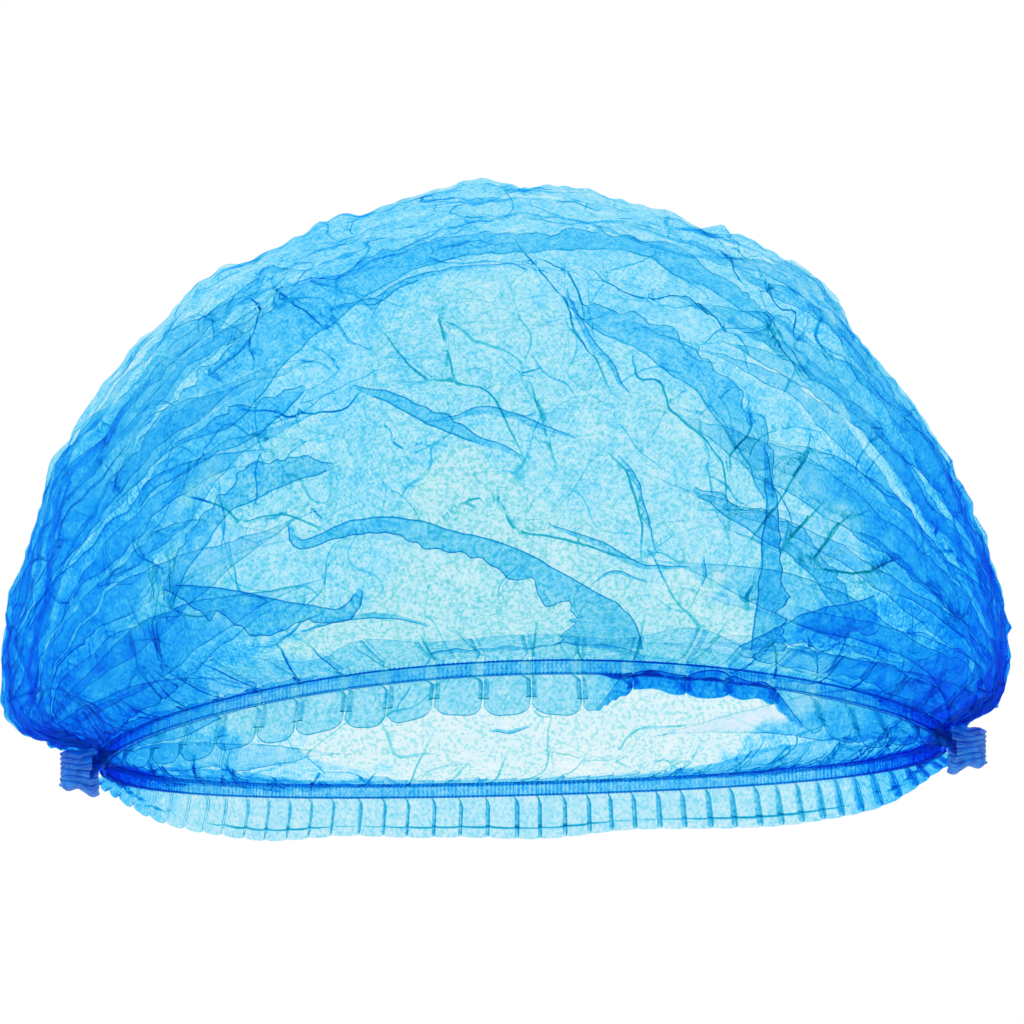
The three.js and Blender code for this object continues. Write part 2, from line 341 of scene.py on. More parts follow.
def pleat_rows():
    along = np.linspace(0, 1, COLUMNS + 1)
    width = np.interp(along, CHART_SHARES, girth)
    rng = np.random.default_rng(5)
    turns = []
    for k in range(PLEATS):
        middle = (k + 0.5) / PLEATS
        sway = rng.normal(0, 0.16, 4) / PLEATS
        centre = middle + sum(s * np.sin((n + 1.3) * math.pi * along + k) for n, s in enumerate(sway))
        depth = pleat_depth(along, middle, 40 + k) / PLEATS
        depth = np.minimum(depth, 1.7 * np.minimum(centre, 1 - centre))
        turns.append((centre + depth / 2, centre - depth / 2, rng.choice([-1, 1])))
    over, lift, edge, ink, lapped = [], [], [], [], []
    start = np.zeros_like(along)
    lift_start = np.zeros_like(along)
    for k in range(PLEATS + 1):
        last = k == PLEATS
        stop = np.ones_like(along) if last else turns[k][0]
        deep = np.zeros_like(along) if last else np.maximum(0, turns[k][0] - turns[k][1]) * width
        rise = PLEAT_RISE * smooth(0, 2 * MM, deep) + 0.05 * deep
        lift_stop = 0 * along if last else turns[k][2] * rise
        before = turns[k - 1][0] if k else -1 + start
        after = 2 + start if last else turns[k][1]
        for share in np.linspace(0, 1, PANEL_ROWS, endpoint=last):
            over.append(start + (stop - start) * share)
            before_it = (before - over[-1]) * (before - start > 0)
            after_it = (over[-1] - after) * (stop - after > 0)
            lapped.append(smooth(0, 0.5 * MM, np.maximum(before_it, after_it) * width))
            lift.append(lift_start + (lift_stop - lift_start) * share)
            run = np.abs(stop - start) * width
            edge.append(run * min(share if k else 1, 1 if last else 1 - share))
            # The dark line at a pleat's turn grows with its depth: partly doubled fabric, partly painted
            # shade.
            ink.append(smooth(0.8 * MM, 5 * MM, deep))
        if last:
            break
        for share in np.linspace(0, 1, TURN_ROWS, endpoint=False):
            over.append(turns[k][0] + (turns[k][1] - turns[k][0]) * share)
            lift.append(lift_stop * (1 - 2 * share))
            edge.append(deep * min(share, 1 - share))
            lapped.append(smooth(0.5 * MM, 2 * MM, deep))
            ink.append(smooth(0.8 * MM, 5 * MM, deep))
        start, lift_start = turns[k][1], -lift_stop
    return along, np.array(over), np.array(lift), np.array(edge), np.array(ink), np.array(lapped)


# %% [markdown]
# ## Laying the sheet on the form
# The real sheet is flat until it is worn. A simulation would not keep its pleats in place, so each point
# of the grid is looked up on the form and moved outwards by its pleat's lift.

# %% Lay the sheet on the form
along_line, over, lift, pleat_edge, pleat_ink_and_shade, lapped = pleat_rows()
along = np.broadcast_to(along_line, over.shape)
places = place_at(along, over)
outward = outward_at(along, over)
steps = np.linalg.norm(np.diff(places, axis=0), axis=2)
print("cloth across the middle", round(steps[:, COLUMNS // 2].sum() / MM), "mm,",
      "at a tenth", round(steps[:, COLUMNS // 10].sum() / MM), "mm")
places = places + outward * lift[..., None]

# %% [markdown]
# ## Where a fold runs
# A fold is given by a few points as they are seen from the front: how far across, and how high on a plane
# that faces the viewer. Each point is found on the form, and the points are joined smoothly.

# %% Fold lines
def seen_height(p):
    return p[..., 2] * math.cos(VIEW_RISE) + np.abs(p[..., 1]) * math.sin(VIEW_RISE)


def bend_through(values, at):
    """A smooth run through a few values (Catmull-Rom)."""
    v = np.array([2 * values[0] - values[1], *values, 2 * values[-1] - values[-2]], float)
    i = np.clip(at.astype(int), 0, len(values) - 2)
    t = at - i
    a, b, c, d = v[i], v[i + 1], v[i + 2], v[i + 3]
    return 0.5 * (2 * b + (c - a) * t + (2 * a - 5 * b + 4 * c - d) * t**2 + (3 * b - a - 3 * c + d) * t**3)


def chart_line(side, x, h, step=1.2 * MM):
    """The line as shares along and over the chart, in even steps."""
    keep = np.where(chart[..., 1] * side > 0, 0, 1)
    high = seen_height(chart)
    at = np.linspace(0, len(x) - 1, 16 * len(x))
    spots = []
    for a, b in zip(bend_through(x, at) * MM, bend_through(h, at) * MM):
        far = np.hypot(chart[..., 0] - a, high - b) + keep
        spots.append(np.unravel_index(np.argmin(far), far.shape))
    spots = np.array(spots, float)
    for _ in range(6):
        spots[1:-1] = (spots[:-2] + 2 * spots[1:-1] + spots[2:]) / 4
    points = place_at(*(spots / CHART).T)
    run = run_along(points)
    even = np.linspace(0, run[-1], max(6, int(run[-1] / step)))
    shares = np.stack([np.interp(even, run, spots[:, i]) for i in range(2)], -1) / CHART
    return shares, np.interp(even, run, at)


def short_line(a, b, way, long, t, bow):
    """A small line round the spot a, b of the chart. way turns it and bow bends it."""
    return np.stack([
        a + (t * math.cos(way) - bow * math.sin(way)) * long / ridge_length,
        b + (t * math.sin(way) + bow * math.cos(way)) * long / girth[int(a * CHART)],
    ], -1)


# %% [markdown]
# ## Creases
# A packed cap has been folded flat, so it opens with sharp creases and flat facets between them. The main
# ones follow drawn lines. The rest are the borders between random facets, each tilted a little, and some
# short lines. Moving the points makes them real folds, and a mark keeps each fold's dark line thin. That
# dark line is partly the fold's doubled fabric and partly painted shade.

# %% Near a line
def near_line(points, line, outs, reach=40 * MM):
    """For each point near the line: which step is nearest, how far to its side, how far past an end."""
    near = ((points > line.min(0) - reach) & (points < line.max(0) + reach)).all(-1)
    some = points[near]
    best = np.full(len(some), np.inf)
    nearest = np.zeros(len(some), int)
    for k, q in enumerate(line):
        far = ((some - q) ** 2).sum(-1)
        closer = far < best
        best[closer] = far[closer]
        nearest[closer] = k
    run = unit(np.gradient(line, axis=0))
    side = unit(np.cross(outs, run))
    gap = some - line[nearest]
    step = np.zeros(points.shape[:-1], int)
    across = np.full(points.shape[:-1], 1.0)
    past = np.full(points.shape[:-1], 1.0)
    step[near] = nearest
    across[near] = (gap * side[nearest]).sum(-1)
    at_end = (nearest == 0) | (nearest == len(line) - 1)
    past[near] = np.maximum(0, np.abs((gap * run[nearest]).sum(-1)) - 1 * MM) * at_end
    return step, across, past


# %% Creases
LINES = [
    dict(x=(-34, -24, -16, -5, 3), h=(105, 93, 92, 87, 71)),
    dict(x=(-19, -15), h=(107, 92)),
    dict(x=(5, 9, 11), h=(90, 77, 69)),
    dict(x=(1, 7, 13, 16, 22, 26), h=(128, 120, 114, 104, 95, 88)),
    dict(x=(6, 14, 18, 19), h=(125, 122, 116, 109)),
    dict(x=(26, 29, 33, 33), h=(72, 67, 54, 48)),
    dict(x=(22, 33, 45, 50, 56, 61), h=(121, 115, 114, 111, 104, 97)),
    dict(x=(31, 32, 38, 40, 50, 53, 55), h=(97, 92, 89, 81, 72, 63, 55)),
    dict(x=(62, 63, 55, 54), h=(86, 80, 71, 66)),
    dict(x=(62, 71, 77), h=(51, 65, 75)),
    dict(x=(69, 79), h=(47, 59)),
    dict(x=(72, 78, 85, 89), h=(45, 46, 55, 56)),
    dict(x=(78, 91, 99), h=(43, 42, 45)),
    dict(x=(57, 61), h=(128, 118)),
    dict(x=(69, 72, 77, 79, 85), h=(122, 114, 112, 105, 96)),
    dict(x=(63, 71, 76), h=(109, 97, 90)),
    dict(x=(-70, -66, -68, -66), h=(115, 110, 103, 94)),
    dict(x=(-64, -59, -48), h=(118, 112, 104)),
    dict(x=(-68, -56, -44, -39), h=(84, 84, 84, 89)),
    dict(x=(-82, -72, -68, -57, -44), h=(60, 57, 54, 56, 51)),
    dict(x=(-88, -86), h=(47, 34)),
    dict(x=(-92, -88), h=(44, 17)),
    dict(x=(-18, -13, -4, 1, 15, 32), h=(56, 60, 61, 53, 50, 45)),
]


def crease(places, outward, base, points, outs, rise, reach, state, strength):
    step, across, past = near_line(base, points, outs)
    facing = (outward * outs[step]).sum(-1) > 0.2
    end = np.minimum(step, len(points) - 1 - step) / (len(points) / 2)
    fade = smooth(3 * MM, 0, past) * facing
    height = rise * np.exp(-np.abs(across) / reach) * fade * (0.35 + 0.65 * smooth(0, 0.5, end))
    closer = (np.abs(across) < np.abs(state["line"])) & (fade > 0.3)
    state["line"][closer] = across[closer]
    # Each crease gets a dark line: partly doubled fabric, partly painted shade.
    state["line_ink_and_shade"][closer] = (strength * fade * (0.3 + 0.7 * smooth(0, 0.4, end)))[closer]
    return places + outward * height[..., None]


LINE_RISE = 1.6 * MM
LINE_REACH = 5 * MM
# How dark the drawn creases are: partly doubled fabric, partly painted shade.
CREASE_INK_AND_SHADE = 2.0
FACETS = 520
FACET_TILT = 0.65
SMALL_CREASES = 60
state = {"line": np.full(over.shape, 9 * MM), "line_ink_and_shade": np.zeros(over.shape)}
base = places.copy()
for n, drawn in enumerate(LINES):
    shares, _ = chart_line(-1, drawn["x"], drawn["h"])
    points, outs = place_at(*shares.T), outward_at(*shares.T)
    rise = LINE_RISE if n % 2 else -LINE_RISE
    places = crease(places, outward, base, points, outs, rise, LINE_REACH, state, CREASE_INK_AND_SHADE)

rng = np.random.default_rng(4)
seeds = place_at(rng.uniform(0.03, 0.97, FACETS), rng.uniform(0.02, 0.98, FACETS))
tilt = rng.normal(0, FACET_TILT, len(seeds)) * MM
# A random darkness for the line along each facet border: partly doubled fabric, partly painted shade.
ink = rng.uniform(0, 1, (len(seeds), len(seeds))) ** 3
bent = base + 2.5 * MM * np.stack([drift(base, 22 * MM, 30 + k) for k in range(3)], -1)
for i in range(len(base)):
    far = ((bent[i][:, None] - seeds) ** 2).sum(-1)
    two = np.argpartition(far, 1, axis=1)[:, :2]
    d = np.take_along_axis(far, two, 1)
    swap = d[:, 0] > d[:, 1]
    two[swap], d[swap] = two[swap][:, ::-1], d[swap][:, ::-1]
    apart = np.linalg.norm(seeds[two[:, 0]] - seeds[two[:, 1]], axis=1)
    edge = (d[:, 1] - d[:, 0]) / (2 * apart)
    places[i] += outward[i] * (tilt[two[:, 0]] * (1 - np.exp(-edge / (3 * MM))))[:, None]
    signed = np.where(two[:, 0] < two[:, 1], edge, -edge)
    closer = edge < np.abs(state["line"][i])
    state["line"][i][closer] = signed[closer]
    low, high = two.min(1), two.max(1)
    state["line_ink_and_shade"][i][closer] = 1.1 * ink[low, high][closer]
print("crumpled into", len(seeds), "facets")

rng = np.random.default_rng(11)
for _ in range(SMALL_CREASES):
    a, b = rng.uniform(0.08, 0.92), rng.uniform(0.05, 0.95)
    way = rng.uniform(0, math.pi)
    long = rng.uniform(12, 40) * MM
    t = np.linspace(-0.5, 0.5, 9)
    bow = rng.normal(0, 0.12) * (1 - 4 * t**2)
    shares = short_line(a, b, way, long, t, bow)
    points, outs = place_at(*shares.T), outward_at(*shares.T)
    rise = rng.choice([-1, 1]) * rng.uniform(0.5, 1.8) * MM
    reach, strength = rng.uniform(3, 9) * MM, rng.uniform(0.15, 0.6)
    places = crease(places, outward, base, points, outs, rise, reach, state, strength)
print("creases set")

# %% [markdown]
# ## Gathers
# The elastic draws each long edge of the sheet together. The pleats it makes there run on up the crown for
# a finger's breadth and fade. The same marks place the pleats of the hems later on.

# %% Gathers
FRONT_PITCH = 12.3 * MM
BACK_PITCH = 7 * MM


def pleat_marks(length, pitch, seed):
    rng = np.random.default_rng(seed)
    marks = np.concatenate([[0], np.cumsum(rng.uniform(0.85, 1.15, round(length / pitch)))])
    return marks / marks[-1] * length


def gather(places, side, pitch, seed, reach, slant):
    line = chart[:, 0 if side < 0 else -1]
    run = run_along(line)
    marks = pleat_marks(run[-1], pitch, seed)
    rng = np.random.default_rng(seed + 50)
    tall = reach * rng.uniform(0.6, 1.3, len(marks))
    lean = slant + rng.normal(0, 0.15, len(marks))
    up = (over if side < 0 else 1 - over) * np.interp(along, CHART_SHARES, girth)
    u = np.interp(along, CHART_SHARES, run)
    nearest = np.abs((u - slant * up)[..., None] - marks).argmin(-1)
    off = u - marks[nearest] - lean[nearest] * up
    fade = smooth(1, 0.35, up / tall[nearest])
    bulge = 1 - np.minimum(1, (2 * off / pitch) ** 2)
    lift = fade * (0.9 * MM * bulge - 1.1 * MM * np.exp(-np.abs(off) / (0.8 * MM)))
    closer = (np.abs(off) < np.abs(state["line"])) & (fade > 0.05)
    state["line"][closer] = off[closer]
    # Each gather's fold gets a dark line: partly doubled fabric, partly painted shade.
    state["line_ink_and_shade"][closer] = (1.5 * fade)[closer]
    return places + outward * lift[..., None]


places = gather(places, -1, FRONT_PITCH, 3, 26 * MM, 0.0)
places = gather(places, 1, BACK_PITCH, 8, 42 * MM, 0.35)
print("gathers set along both edges")

# %% [markdown]
# ## How many layers lie together
# Between the pleats that are modelled there are finer ones, too small for any mesh. The measure "layers"
# says how many thicknesses of fabric they add up to at each point. It grows from one, on the open panel in
# the middle of the front, to many at the welds. The panel's edge is a sharp fold, so the sheet also steps
# up there. Beyond that edge the step is raised further near the top, and in a band on the left: painted
# shade of the dome's steep walls.

# %% Layers
OPEN_PANEL = dict(
    x=(-97, -91, -83, -75, -67, -58, -46, -37, -33, -28, -14, 2, 10, 24, 34, 45, 55, 66, 73, 79, 88, 94, 98,
       94, 73, 60, 20, -20, -45, -74, -94),
    h=(35, 44, 52, 61, 69, 77, 81, 90, 101, 112, 117, 117, 108, 99, 91, 84, 82, 78, 72, 62, 52, 44, 36, 30,
       30, 20, 8, 8, 20, 30, 31),
)
FAN = dict(
    side=(0.0, 0.10, 0.17, 0.22, 0.27, 0.31, 0.36, 0.45, 0.5),
    layers=(12.0, 10.0, 8.2, 7.0, 5.8, 4.4, 3.0, 1.5, 1.2),
)


def panel_distance(x, h, outline):
    """Signed distance to a closed outline: below zero inside it."""
    px, ph = np.array(outline["x"]) * MM, np.array(outline["h"]) * MM
    qx, qh = np.roll(px, -1), np.roll(ph, -1)
    far = np.full(x.shape, np.inf)
    inside = np.zeros(x.shape, bool)
    for ax, ah, bx, bh in zip(px, ph, qx, qh):
        t = np.clip(((x - ax) * (bx - ax) + (h - ah) * (bh - ah)) / ((bx - ax) ** 2 + (bh - ah) ** 2), 0, 1)
        far = np.minimum(far, np.hypot(x - ax - t * (bx - ax), h - ah - t * (bh - ah)))
        crosses = ((ah > h) != (bh > h)) & (x < ax + (h - ah) * (bx - ax) / (bh - ah + 1e-12))
        inside ^= crosses
    return np.where(inside, -far, far)


height = seen_height(places)
ragged = 2.2 * MM * drift(base, 14 * MM, 21) + 1.2 * MM * drift(base, 5 * MM, 22)
front = places[..., 1] < 0
off_panel = panel_distance(places[..., 0], height, OPEN_PANEL) + ragged
off_panel = np.where(front, off_panel, off_panel + 6 * MM)
fan = np.interp(np.minimum(along, 1 - along), FAN["side"], FAN["layers"])
fan = 1 + (fan - 1) * (0.14 + 0.72 * smooth(108 * MM, 52 * MM, height) + 0.14 * smooth(45 * MM, 0, height))
# upper and left raise the step beyond the panel's edge: painted shade of the dome's steep walls.
upper = smooth(85 * MM, 115 * MM, height)
left = 0.9 * smooth(0, -30 * MM, places[..., 0]) * smooth(60 * MM, 25 * MM, off_panel)
panel_step_and_shade = smooth(0, 1.5 * MM, off_panel) * (0.8 + upper + left)
fan = 1 + (fan - 1) * (1 + 0.25 * smooth(0, 60 * MM, places[..., 0]))
layers = 1 + np.maximum(0, fan - 1) * smooth(0, 4 * MM, off_panel) + panel_step_and_shade
layers = layers * (1 + 0.12 * drift(base, 20 * MM, 23) + 0.10 * drift(base, 7 * MM, 24))
inside = smooth(1.5 * MM, -0.5 * MM, off_panel)
layers = layers * (1 - lapped * (0.58 + 0.07 * inside))
pleat_ink_and_shade = pleat_ink_and_shade * (0.6 - 0.35 * inside)
places = places + outward * (0.7 * MM * smooth(-0.5 * MM, 1.5 * MM, off_panel) * front)[..., None]
print("layers from", round(float(layers.min()), 2), "to", round(float(layers.max()), 2))

# %% [markdown]
# ## How open the fabric looks
# Single fabric shows pale specks between its fibres. Where layers lie together the specks of one are
# covered by the next, so the mark falls quickly as the layers grow.

# %% How open the fabric looks
def singled(layers):
    """1 where the sheet lies single, and less where it is thinned or doubled."""
    layers = np.maximum(layers, 0.05)
    return np.minimum(layers, 1 / layers) ** 2


# %% [markdown]
# ## Swell
# The slack sheet doesn't lie smoothly on its form. Smooth drifts of three sizes move it in and out, and the
# whole sheet is set inside the form, so that its folds don't stand far beyond it.

# %% Swell
SETTLE = 3.4 * MM
SETTLE_TOP = 0.7 * MM
SETTLE_RIGHT = 1.0 * MM


def swell(points):
    """How far the slack sheet stands out from the form."""
    broad = 1.1 * MM * drift(points, 45 * MM, 1)
    middling = 0.55 * MM * drift(points, 16 * MM, 2)
    return broad + middling + 0.22 * MM * drift(points, 6 * MM, 3)


def settle(points):
    """How far the sheet lies inside the form, so that its folds stay within it."""
    x, z = points[..., 0], points[..., 2]
    shoulder = smooth(10 * MM, 70 * MM, x) * smooth(30 * MM, 70 * MM, z)
    return SETTLE + SETTLE_TOP * smooth(120 * MM, 140 * MM, z) + SETTLE_RIGHT * shoulder


middle = smooth(0.0, 0.1, over) * smooth(1.0, 0.9, over)
settled = settle(base) * smooth(0, 0.08, over) * smooth(1, 0.92, over)
places = places + outward * (middle * swell(base) - settled)[..., None]

cloth_over = np.linalg.norm(np.diff(places, axis=0), axis=2).mean(1).cumsum()
cloth_over = np.concatenate([[0], cloth_over])[:, None] + 0 * along
flat = np.stack([along * CLOTH_LENGTH, cloth_over], -1)
marks = {
    "edge": pleat_edge, "edge_ink_and_shade": pleat_ink_and_shade, "line": state["line"], "line_ink_and_shade": state["line_ink_and_shade"],
    "layers": layers, "single": singled(layers) * (1 - 0.8 * lapped),
}
middle_row = len(over) // 2
crown_parts = []
halves = (("crown_front", slice(middle_row, None, -1)), ("crown_back", slice(None, middle_row - 1, -1)))
for name, rows in halves:
    half_marks = {mark: value[rows] for mark, value in marks.items()}
    crown_parts.append(make_sheet(name, places[rows], flat[rows], half_marks))

# %% [markdown]
# ## The fabric
# Spun-bonded fabric is a web of fine blue fibres, pressed together at rows of small dots. Most light goes
# straight through it, so it is made clear, and each layer multiplies the light by its own colour. Folds
# that lie over each other then darken by themselves. Alpha alone would only grey them.

# %% Fabric
BOND_ALONG, BOND_OVER = 1.45 * MM, 1.9 * MM
EDGE_WIDTH, CREASE_WIDTH = 0.55 * MM, 0.42 * MM
FIBRE_TINT = (0.56, 0.885, 0.996, 1)
SPECK_TINT = (0.80, 0.952, 0.94, 1)
BODY_SHARE = 0.05  # of the light that the fibres send back


def nonwoven():
    material = bpy.data.materials.new("spunbond_blue")
    material.use_nodes = True
    tree = material.node_tree
    tree.nodes.clear()
    node = tree.nodes.new
    link = tree.links.new

    def maths(kind, a, b=None, c=None):
        n = node("ShaderNodeMath")
        n.operation = kind
        for socket, value in zip(n.inputs, (a, b, c)):
            if value is None:
                continue
            if isinstance(value, (int, float)):
                socket.default_value = value
            else:
                link(value, socket)
        return n.outputs[0]

    def mark(name):
        n = node("ShaderNodeAttribute")
        n.attribute_name = name
        return n.outputs["Fac"]

    uv = node("ShaderNodeUVMap")
    uv.uv_map = "cloth"
    split = node("ShaderNodeSeparateXYZ")
    link(uv.outputs[0], split.inputs[0])
    u = maths("MULTIPLY", split.outputs[0], 2 * math.pi / BOND_ALONG)
    v = maths("MULTIPLY", split.outputs[1], 2 * math.pi / BOND_OVER)
    dots = maths("MULTIPLY", maths("COSINE", u), maths("COSINE", v))
    bond = node("ShaderNodeMapRange")
    link(dots, bond.inputs["Value"])
    bond.inputs["From Min"].default_value = 0.45
    bond.inputs["From Max"].default_value = 0.85
    spot = node("ShaderNodeTexCoord").outputs["Object"]

    def noise(scale, detail):
        n = node("ShaderNodeTexNoise")
        n.inputs["Scale"].default_value = scale
        n.inputs["Detail"].default_value = detail
        link(spot, n.inputs["Vector"])
        return n.outputs["Fac"]

    speck = node("ShaderNodeMapRange")
    speck.interpolation_type = "SMOOTHSTEP"
    link(noise(900, 1), speck.inputs["Value"])
    speck.inputs["From Min"].default_value = 0.49
    speck.inputs["From Max"].default_value = 0.64
    web = maths("MULTIPLY_ADD", speck.outputs[0], 0.5, 0.55)
    web = maths("MULTIPLY_ADD", maths("SUBTRACT", noise(300, 1), 0.5), 0.9, web)
    web = maths("SUBTRACT", web, maths("MULTIPLY", bond.outputs[0], 0.4))
    web = maths("MAXIMUM", web, 0.06)

    def ink(distance, strength, width):
        n = node("ShaderNodeMapRange")
        n.interpolation_type = "SMOOTHSTEP"
        link(maths("ABSOLUTE", mark(distance)), n.inputs["Value"])
        n.inputs["From Min"].default_value = width
        n.inputs["From Max"].default_value = 0.1 * MM
        return maths("MULTIPLY", n.outputs[0], mark(strength))

    # The lines darken and tint the fabric along pleat turns, creases and weld lines. The weld lines are fused
    # fabric; along the folds the darkening is partly doubled fabric and partly painted shade.
    lines = maths("ADD", ink("edge", "edge_ink_and_shade", EDGE_WIDTH), ink("line", "line_ink_and_shade", CREASE_WIDTH))
    layer = mark("layers")
    thin = mark("single")
    fibres = maths("MULTIPLY", web, 0.58)
    blue = maths("MULTIPLY", maths("ADD", fibres, maths("MULTIPLY", lines, 1.3)), layer)
    specks = maths("MULTIPLY_ADD", speck.outputs[0], 2.2, 0.55)
    teal = maths("MULTIPLY_ADD", lines, 3.6, maths("MULTIPLY", specks, thin))

    def tint(colour, depth):
        n = node("ShaderNodeGamma")
        n.inputs["Color"].default_value = colour
        link(depth, n.inputs["Gamma"])
        return n.outputs[0]

    both = node("ShaderNodeMix")
    both.data_type = "RGBA"
    both.blend_type = "MULTIPLY"
    both.inputs[0].default_value = 1
    link(tint(FIBRE_TINT, blue), both.inputs[6])
    link(tint(SPECK_TINT, teal), both.inputs[7])
    clear = node("ShaderNodeBsdfTransparent")
    link(both.outputs[2], clear.inputs["Color"])
    body = node("ShaderNodeBsdfPrincipled")
    body.inputs["Base Color"].default_value = (0.02, 0.42, 0.85, 1)
    body.inputs["Roughness"].default_value = 0.55
    bump = node("ShaderNodeBump")
    bump.inputs["Distance"].default_value = 0.15 * MM
    bump.inputs["Strength"].default_value = 0.6
    link(web, bump.inputs["Height"])
    link(bump.outputs[0], body.inputs["Normal"])
    mixed = node("ShaderNodeMixShader")
    mixed.inputs[0].default_value = BODY_SHARE
    link(clear.outputs[0], mixed.inputs[1])
    link(body.outputs[0], mixed.inputs[2])
    out = node("ShaderNodeOutputMaterial")
    link(mixed.outputs[0], out.inputs["Surface"])
    return material


fabric = nonwoven()
for part in crown_parts:
    part.data.materials.append(fabric)
    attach(part, "root")
    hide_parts("crown")

# %% [markdown]
# ## Tucks
# Where the slack sheet has fallen over itself it makes a flat tuck: two more layers over the one below.
# Each is a strip that follows its line on the form, goes out to its turn, and comes back over itself. A
# strip of its own keeps its edge sharp, whichever way it runs across the sheet's grid.

# %% Tucks
TUCKS = [
    # x and h place the fold's edge, wide is how far it lies over, all in mm. lay is to which side.
    dict(x=(-104, -86, -70, -60, -50, -40, -28, -10, 8, 22, 36, 52, 66),
         h=(60, 72, 82, 92, 102, 111, 118, 123, 127, 126, 122, 114, 104),
         wide=(6, 18, 24, 24, 23, 22, 18, 13, 12, 12, 12, 11, 5), lay=1, thick=0.9),
    dict(x=(-56, -53, -41, -25, -17, 1, 21, 29, 33), h=(54, 50, 55, 55, 53, 48, 36, 28, 20),
         wide=(1, 3, 4, 5, 6, 7, 10, 16, 22), lay=-1, thick=1.2),
    dict(x=(-88, -76, -65, -52, -44, -38), h=(38, 37.5, 36, 33, 31, 38),
         wide=(1, 7, 9, 8, 6, 1), lay=-1, thick=1.5),
    dict(x=(-41, -24, -14, 2), h=(89, 80, 75, 70), wide=(1, 4.5, 3.5, 1), lay=1, thick=1),
    dict(x=(64.5, 64, 62, 60), h=(75, 51, 35, 19), wide=(0.5, 5, 6.5, 8), lay=1, thick=1.4),
    dict(x=(57, 64, 72, 82, 94), h=(20, 24, 29, 32, 35), wide=(3, 8, 13, 15, 14), lay=-1, thick=1.8),
    dict(x=(-47, -42, -34, -28, -16, 4), h=(109, 110, 111, 115, 118, 120),
         wide=(1, 2, 3, 3, 2, 1), lay=1, thick=1),
    dict(x=(12, 17, 34, 47, 57, 64), h=(114, 108, 97, 86, 73, 60),
         wide=(2, 10, 13, 14, 12, 3), lay=1, thick=0.8),
    dict(x=(-98, -84, -72, -60, -52), h=(58, 66, 74, 82, 88), wide=(2, 9, 11, 8, 2), lay=1, thick=1),
    dict(x=(-20, -4, 10, 22, 33), h=(13, 17, 18, 16, 17), wide=(1, 3, 4, 4, 2), lay=1, thick=1),
    dict(x=(14, 16, 22, 30), h=(117, 108, 98, 88), wide=(0.6, 1.6, 2, 0.8), lay=1, thick=1),
    dict(x=(27, 31, 34, 36), h=(72, 64, 55, 47), wide=(0.5, 1.2, 1.2, 0.5), lay=1, thick=1),
]
BACK_TUCKS = [
    dict(x=(-98, -84, -66, -50), h=(60, 84, 98, 104), wide=(4, 9, 8, 2), lay=1, thick=1),
    dict(x=(52, 68, 84, 96), h=(100, 88, 74, 56), wide=(2, 8, 9, 4), lay=1, thick=1),
    dict(x=(-60, -48, -36, -24), h=(64, 70, 72, 70), wide=(0.6, 1.5, 1.5, 0.6), lay=-1, thick=1),
    dict(x=(10, 24, 36, 52), h=(96, 90, 84, 82), wide=(0.6, 1.8, 1.8, 0.6), lay=1, thick=1),
    dict(x=(-24, -12, 2, 18), h=(116, 119, 119, 114), wide=(0.6, 2, 2, 0.6), lay=1, thick=1),
]
ACROSS = 9
WIDE_TUCK = 2.5 * MM  # a wider one shows a dark edge on both sides


def tuck_strip(shares, wide, lay, seed):
    """Out along the lower layer and back along the upper one."""
    line = place_at(*shares.T)
    outs = outward_at(*shares.T)
    run = unit(np.gradient(line, axis=0))
    side = unit(np.cross(outs, run)) * lay
    step = 0.002
    per_along = (place_at(shares[:, 0] + step, shares[:, 1]) - line) / step
    per_over = (place_at(shares[:, 0], shares[:, 1] + step) - line) / step
    rows, edges = [], []
    wavy = smooth(2 * MM, 8 * MM, wide) * 0.7 * MM * drift(line, 4 * MM, seed + 1)
    reach = wide * (1 + 0.09 * drift(line, 12 * MM, seed)) + wavy
    lower = [(t, 0.25) for t in np.linspace(0, 1, ACROSS)]
    upper = [(t, 0.65) for t in np.linspace(1, 0, ACROSS)]
    for t, rise in lower + upper:
        off = side * (reach * t)[:, None]
        aa, bb, ab = (per_along**2).sum(1), (per_over**2).sum(1), (per_along * per_over).sum(1)
        pa, pb = (off * per_along).sum(1), (off * per_over).sum(1)
        det = aa * bb - ab**2
        spot = shares + np.stack([(pa * bb - pb * ab) / det, (pb * aa - pa * ab) / det], -1)
        point = place_at(*spot.T)
        out = outward_at(*spot.T)
        arch = 0.25 + 0.75 * np.sin(math.pi * min(1, 0.15 + t))
        lift = swell(point) - settle(point) + (0.9 + rise * arch) * MM
        rows.append(point + out * lift[:, None])
        edges.append(np.where(reach > WIDE_TUCK, np.minimum(t, 1 - t), 1 - t) * reach)
    return np.array(rows), np.array(edges)


